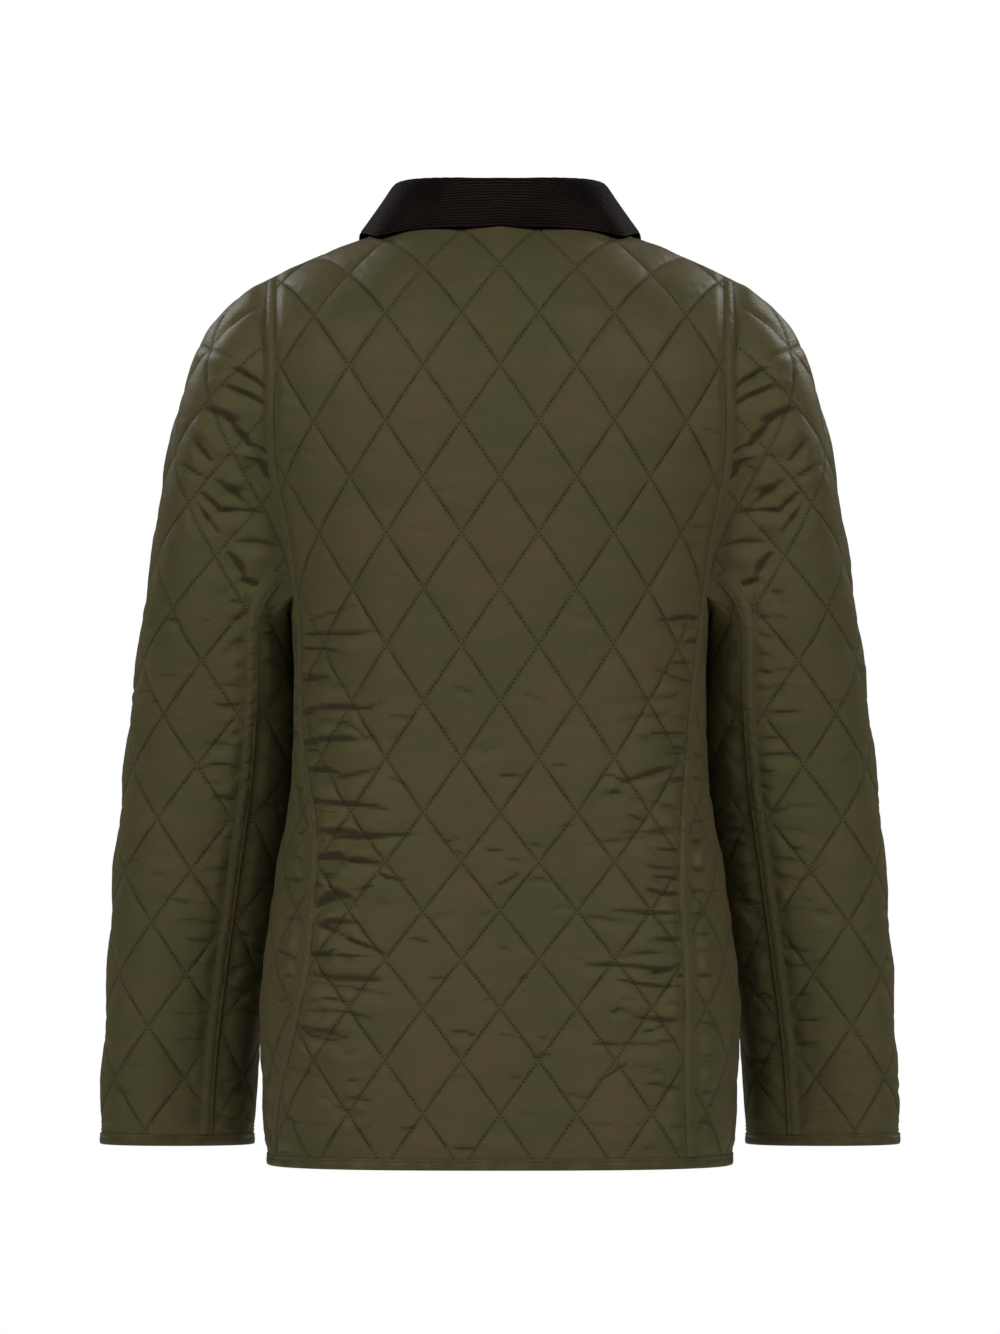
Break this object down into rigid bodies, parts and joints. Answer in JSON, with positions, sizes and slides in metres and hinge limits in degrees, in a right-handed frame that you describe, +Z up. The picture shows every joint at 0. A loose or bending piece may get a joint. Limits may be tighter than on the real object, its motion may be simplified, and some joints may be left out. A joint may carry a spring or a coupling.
{
  "type": "quilted jacket",
  "caption": "Hip-length diamond-quilted jacket with panelled long sleeves, turned-down corduroy collar, bound edges and press studs; filled out, empty and open at neck, hem and cuffs.",
  "frame": {"origin": "between the shoulders at the height of the back neck, on the centre line, where the wearer holds the jacket up", "axes": "+Z up, the front faces -Y, the wearer's right is -X"},
  "size_m": [0.5986, 0.2526, 0.7296],
  "materials": {
    "quilted_cloth": "olive woven cloth with a soft sheen, quilted in diamonds",
    "binding_tape": "plain folded tape, stitched near its inner edge",
    "corduroy": "dark brown corduroy, its ribs running along the collar",
    "stud_metal": "dulled antique brass"
  },
  "bodies": {
    "root": {"back": "quilted_cloth", "side_left": "quilted_cloth", "side_right": "quilted_cloth", "front_left": "quilted_cloth", "front_right": "quilted_cloth", "sleeve_upper_left": "quilted_cloth", "sleeve_upper_right": "quilted_cloth", "sleeve_under_left": "quilted_cloth", "sleeve_under_right": "quilted_cloth", "hem_binding": "binding_tape", "front_binding_left": "binding_tape", "front_binding_right": "binding_tape", "cuff_binding_left": "binding_tape", "cuff_binding_right": "binding_tape", "collar_stand": "corduroy", "collar_fall": "corduroy", "stud_1": "stud_metal", "stud_2": "stud_metal", "stud_3": "stud_metal", "stud_4": "stud_metal", "stud_5": "stud_metal", "stud_6": "stud_metal"}
  },
  "joints": []
}
